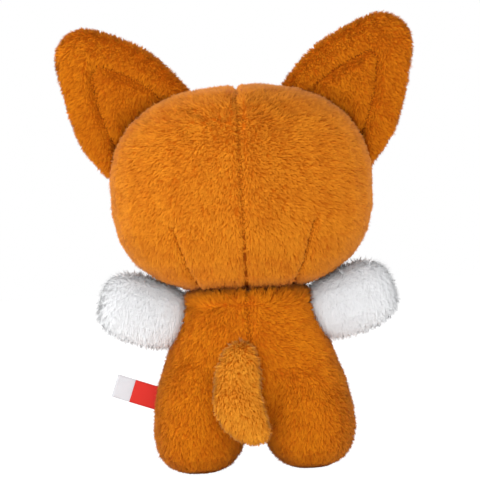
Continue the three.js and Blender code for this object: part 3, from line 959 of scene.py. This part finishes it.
class PLUSH_OT_ears(bpy.types.Operator):
    """Makes both ears, quilted along the lining's edge"""

    bl_idname = "plush.ears"
    bl_label = "Ears"

    def execute(self, context):
        for side, sign in SIDES.items():
            self.ear(side, sign)
        return {"FINISHED"}

    def ear(self, side, sign):
        size = sizes()
        brown = [f"ear_back_{side}", f"ear_front_{side}"]
        lining = f"ear_lining_{side}"
        shape = {"grid": size.small_grid, "rounds": 3, "swollen": 1.0 * MM, "bare": 0.15 * MM}
        cover = Cover(f"ear_cover_{side}", [*brown, lining], [f"ear_wadding_{side}"], **shape)
        cover.stitch(sewn_line(sign, EAR_QUILTING), cover.normals[:, 1] > 0.0)
        cover.sew(depth_share=1.1, width_share=2.1)
        cover.paint([(brown, brown_backing()), ([lining], lining_backing())])
        nap = even_nap((0.45 * sign, 0.0, -0.8), leaning=0.9)
        yarn = brown_yarn("body", 1.1 * size.brown_pile)
        coat = cover.pile(f"ear_pile_{side}", brown, yarn, nap, **SHAGGY)
        yarn = white_yarn("lining", size.lining_pile)
        inside = cover.pile(f"lining_pile_{side}", [lining], yarn, nap, **COMBED)
        hinge = JOINTS[f"ear_{side}_fold"]
        rise = Vector((0.0, 1.0, 0.0)).cross(Vector(hinge["axis"]).normalized())
        rise = rise if rise.z > 0.0 else -rise
        dressed(cover, [coat, inside], lambda piece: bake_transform(piece))


class PLUSH_OT_body(bpy.types.Operator):
    """Sews and stuffs the body and legs, with the white belly"""

    bl_idname = "plush.body"
    bl_label = "Body"

    def execute(self, context):
        size = sizes()
        brown = [f"body_{part}_{side}" for part in ("back", "front") for side in SIDES]
        filling = ["torso_stuffing", "leg_stuffing_left", "leg_stuffing_right"]
        cover = Cover("body_cover", [*brown, "belly"], filling, grid=size.large_grid, rounds=9)
        cover.sew()
        cover.bare_neck(half_width=22 * MM, half_depth=15 * MM, height=6 * MM)
        cover.paint([(brown, brown_backing()), (["belly"], white_backing())])
        yarn = brown_yarn("body", size.brown_pile)
        coats = [cover.pile(f"{panel}_pile", [panel], yarn, body_nap) for panel in brown]
        yarn = white_yarn("white", size.face_pile)
        bib = cover.pile("belly_pile", ["belly"], yarn, even_nap(DOWN), **COMBED)
        dressed(cover, [*coats, bib], lambda piece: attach(piece, "torso"))
        return {"FINISHED"}


class PLUSH_OT_arms(bpy.types.Operator):
    """Makes both arms of long white pile"""

    bl_idname = "plush.arms"
    bl_label = "Arms"

    def execute(self, context):
        for side, sign in SIDES.items():
            self.arm(side, sign)
        return {"FINISHED"}

    def arm(self, side, sign):
        size = sizes()
        panels = [f"arm_back_{side}", f"arm_front_{side}"]
        cover = Cover(f"arm_cover_{side}", panels, [f"arm_stuffing_{side}"], grid=size.small_grid, rounds=8)
        cover.sew(depth_share=0.6)
        cover.paint([(panels, white_backing())])
        nap = even_nap((0.35 * sign, 0.0, -1.0), leaning=0.9)
        coat = cover.pile(f"arm_pile_{side}", panels, white_yarn("white", size.white_pile), nap, **FLUFFY)
        dressed(cover, [coat], lambda piece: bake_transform(piece))


class PLUSH_OT_tail(bpy.types.Operator):
    """Makes the leaf-shaped tail"""

    bl_idname = "plush.tail"
    bl_label = "Tail"

    def execute(self, context):
        size = sizes()
        panels = ["tail_outer", "tail_inner"]
        unseamed = 6 * MM
        cover = Cover("tail_cover", panels, ["tail_stuffing"], grid=size.small_grid, rounds=4)
        cover.seam += unseamed * smooth_step(cover.points[:, 2], *TAIL_ROOT)
        cover.sew(depth_share=0.5)
        cover.paint([(panels, brown_backing())])
        coat = cover.pile("tail_pile", panels, brown_yarn("tail", 1.05 * size.brown_pile), even_nap(DOWN))
        dressed(cover, [coat], lambda piece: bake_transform(piece))
        return {"FINISHED"}


class PLUSH_OT_neck(bpy.types.Operator):
    """Rolls the wad of fibre that the head turns on"""

    bl_idname = "plush.neck"
    bl_label = "Neck wad"

    def execute(self, context):
        tangle_spacing = 6 * MM
        tangle_height = 0.6 * MM
        lengthwise = (1.0, 1.0, 3.0)
        wad = stuffed("neck_fibre", ["neck_wad"], sizes().small_grid, rounds=4)
        points = points_of(wad.data)
        tangle = unevenness(points, tangle_spacing) * tangle_height
        move_points(wad.data, points + normals_of(wad.data) * tangle[:, None])
        fibre = finish_named("loose_fibre", fibre_finish, colours().fibre, lengthwise, 0.8 * MM)
        wad.data.materials.append(fibre)
        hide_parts("neck_wad")
        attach(wad, "neck")
        return {"FINISHED"}


class PLUSH_OT_fittings(bpy.types.Operator):
    """Sets the plastic eyes, nose and washers and the mouth's thread"""

    bl_idname = "plush.fittings"
    bl_label = "Face fittings"

    def execute(self, context):
        tints = colours()
        for side in SIDES:
            node = f"eye_{side}"
            low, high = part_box(node)
            middle = ((low.x + high.x) / 2.0, low.y, (low.z + high.z) / 2.0)
            polish = eye_finish(f"eye_{side}_plastic", tints.eye, tints.iris, middle)
            self.moulded(f"{node}_dome", node, polish, "eye_plastic")
        nose = finish_named("nose_gloss", plastic_finish, tints.nose, 0.18, 0.34, 1400.0)
        self.moulded("nose_button", "nose", nose, "nose_plastic")
        lengthwise = (1.0, 1.0, 4.0)
        thread = finish_named("mouth_floss", fibre_finish, tints.thread, lengthwise, 0.5 * MM)
        self.moulded("mouth_line", "mouth_stitch", thread, "mouth_thread")
        washer = finish_named("washer_matt", plastic_finish, tints.washer, 0.45, 0.6, 900.0)
        for node in ("eye_washer_left", "eye_washer_right", "nose_washer"):
            cover_with(FRAME["nodes"][node].data, washer)
        return {"FINISHED"}

    def moulded(self, name, node, finish, slot):
        """A rounded copy of a rigid solid, in its place."""
        piece = gathered(name, [node])
        whole = piece.modifiers.new("One skin", "WELD")
        whole.merge_threshold = 0.02 * MM
        soft = piece.modifiers.new("Rounded", "SUBSURF")
        soft.levels = soft.render_levels = 2
        mesh = applied(piece)
        smooth_faces(mesh)
        cover_with(mesh, finish)
        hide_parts(node)
        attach(piece, "head")


class PLUSH_OT_ribbons(bpy.types.Operator):
    """Sews the bare red and white ribbons into the left side seam"""

    bl_idname = "plush.ribbons"
    bl_label = "Ribbons"

    def execute(self, context):
        tints = colours()
        red = finish_named("red_weave", ribbon_finish, tints.red_ribbon)
        white = finish_named("white_weave", ribbon_finish, tints.white_ribbon)
        self.ribbon("ribbon_red", "label_front", red, "red_ribbon", bow=0.5 * MM)
        self.ribbon("ribbon_white", "label_back", white, "white_ribbon", bow=-0.7 * MM)
        return {"FINISHED"}

    def ribbon(self, name, node, finish, slot, bow):
        """A strip laid over its solid, a little bowed, with the weave's directions kept on it."""
        caught_in_seam = 1.5 * MM
        ripple = 0.25 * MM
        points = points_of(FRAME["nodes"][node].data)
        up = Vector(JOINTS["label_flap"]["axis"]).normalized()
        out = up.cross(Vector((0.0, 1.0, 0.0)))
        out = out if out.x > 0.0 else -out
        out, up = np.array(out), np.array(up)
        along = points @ out
        rise = points @ up
        start, end = along.min() - caught_in_seam, along.max()
        bottom, top = rise.min(), rise.max()
        u, v, loops, starts = self.weave(steps=24, threads=12)
        places = np.outer(start + (end - start) * u, out) + np.outer(bottom + (top - bottom) * v, up)
        bowed = bow * np.sin(math.pi * u) * (0.6 + 0.4 * v)
        rippled = ripple * np.sin(2.0 * math.pi * v) * u
        places[:, 1] = points[:, 1].mean() + bowed + rippled
        mesh = mesh_of(name, places, loops, starts)
        keep_value(mesh, "along", u)
        keep_value(mesh, "across", v)
        piece = linked(name, mesh)
        thick = piece.modifiers.new("Woven thickness", "SOLIDIFY")
        thick.thickness = 0.35 * MM
        thick.offset = 0.0
        cover_with(applied(piece), finish)
        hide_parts(node)
        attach(piece, "label")
        top - bottom
        end - start

    def weave(self, steps, threads):
        """A grid of squares: each point's share along and across, and the faces' corners and starts."""
        lengths = np.linspace(0.0, 1.0, steps + 1)
        breadths = np.linspace(0.0, 1.0, threads + 1)
        u, v = np.meshgrid(lengths, breadths, indexing="ij")
        row = threads + 1
        first = (np.arange(steps)[:, None] * row + np.arange(threads)[None, :]).ravel()
        loops = (first[:, None] + np.array([0, row, row + 1, 1])).ravel()
        return u.ravel(), v.ravel(), loops, 4 * np.arange(len(first))


class PLUSH_OT_stage(bpy.types.Operator):
    """Lays the pale floor, hangs the soft lamps and sets up the camera"""

    bl_idname = "plush.stage"
    bl_label = "Stage"

    white = (1.0, 1.0, 1.0, 1.0)

    def execute(self, context):
        scene = context.scene
        stage = scene.plush_stage
        self.floor(stage)
        self.room(scene, stage)
        for name, (place, held_in) in LAMPS.items():
            self.lamp(name, place, getattr(stage, held_in), stage)
        self.camera(scene, stage)
        scene.view_settings.view_transform = "Standard"
        return {"FINISHED"}

    def floor(self, stage):
        """A round floor that is seen as plain white."""
        corners = 96
        seen_glow = 0.9
        reach = stage.floor_radius
        turns = [2.0 * math.pi * i / corners for i in range(corners)]
        points = [(reach * math.cos(turn), reach * math.sin(turn), 0.0) for turn in turns]
        mesh = mesh_of("floor", points, list(range(corners)), [0])
        finish = new_finish("floor")
        path = finish.add("ShaderNodeLightPath")
        seen = finish.wire(path, "Is Camera Ray") + finish.wire(path, "Is Glossy Ray")
        seen = seen + finish.wire(path, "Is Transmission Ray")
        glow = finish.add("ShaderNodeEmission", sockets={"Color": self.white, "Strength": stage.floor_glow})
        finish.set(Base_Color=(*stage.floor, 1.0), Roughness=0.8)
        plain = finish.wire(finish.shader, 0)
        finish.merge(seen * seen_glow, plain, finish.wire(glow, 0), "Material Output")
        mesh.materials.append(finish.owner)
        linked("floor", mesh)

    def room(self, scene, stage):
        """Even light from all round, seen as plain white."""
        room = Finish(bpy.data.worlds.new("room"))
        light = room.tree.nodes["Background"]
        room.feed(light, {"Color": self.white, "Strength": stage.sky})
        backdrop = room.add("ShaderNodeBackground", sockets={"Color": self.white, "Strength": 1.0})
        seen = room.wire(room.add("ShaderNodeLightPath"), "Is Camera Ray")
        room.merge(seen, room.wire(light, 0), room.wire(backdrop, 0), "World Output")
        scene.world = room.owner

    def lamp(self, name, place, watts, stage):
        data = bpy.data.lights.new(name, "AREA")
        data.shape = "DISK"
        data.size = stage.lamp_breadth
        data.energy = watts
        lamp = linked(name, data)
        lamp.location = place
        aim = Vector((0.0, 0.0, stage.lamp_aim)) - Vector(place)
        lamp.rotation_euler = aim.to_track_quat("-Z", "Y").to_euler()

    def camera(self, scene, stage):
        data = bpy.data.cameras.new("camera")
        data.sensor_width = 36.0
        data.lens = data.sensor_width * stage.view_distance / stage.view_width
        data.dof.use_dof = False
        data.clip_start = 0.05
        data.clip_end = 50.0
        camera = linked("camera", data)
        aim = Vector((stage.view_across, (CAD_LOW.y + CAD_HIGH.y) / 2.0, stage.view_height))
        back = Vector((0.0, math.cos(stage.view_rise), math.sin(stage.view_rise)))
        camera.rotation_mode = "QUATERNION"
        camera.location = aim + back * stage.view_distance
        level = (-back).to_track_quat("-Z", "Y").to_matrix().to_4x4()
        turned = level @ Matrix.Rotation(stage.view_roll, 4, "Z")
        camera.rotation_quaternion = turned.to_quaternion()
        scene.camera = camera


class PLUSH_PT_panel(bpy.types.Panel):
    """Lists the steps that dress the toy"""

    bl_idname = "PLUSH_PT_panel"
    bl_label = "Plush dog"
    bl_space_type = "VIEW_3D"
    bl_region_type = "UI"
    bl_category = "Plush"

    def draw(self, context):
        for step in STEPS:
            self.layout.operator(step.bl_idname)


GROUPS = (PlushColours, PlushSizes, PlushStage)
STEPS = (
    PLUSH_OT_body,
    PLUSH_OT_head,
    PLUSH_OT_ears,
    PLUSH_OT_arms,
    PLUSH_OT_tail,
    PLUSH_OT_neck,
    PLUSH_OT_fittings,
    PLUSH_OT_ribbons,
    PLUSH_OT_stage,
)


def register():
    for kind in (*GROUPS, *STEPS, PLUSH_PT_panel):
        bpy.utils.register_class(kind)
    bpy.types.Scene.plush_colours = PointerProperty(type=PlushColours)
    bpy.types.Scene.plush_sizes = PointerProperty(type=PlushSizes)
    bpy.types.Scene.plush_stage = PointerProperty(type=PlushStage)


def unregister():
    del bpy.types.Scene.plush_stage
    del bpy.types.Scene.plush_sizes
    del bpy.types.Scene.plush_colours
    for kind in reversed((*GROUPS, *STEPS, PLUSH_PT_panel)):
        bpy.utils.unregister_class(kind)


def main():
    register()
    bpy.ops.plush.body()
    bpy.ops.plush.head()
    bpy.ops.plush.ears()
    bpy.ops.plush.arms()
    bpy.ops.plush.tail()
    bpy.ops.plush.neck()
    bpy.ops.plush.fittings()
    bpy.ops.plush.ribbons()
    bpy.ops.plush.stage()


if __name__ == "__main__":
    main()
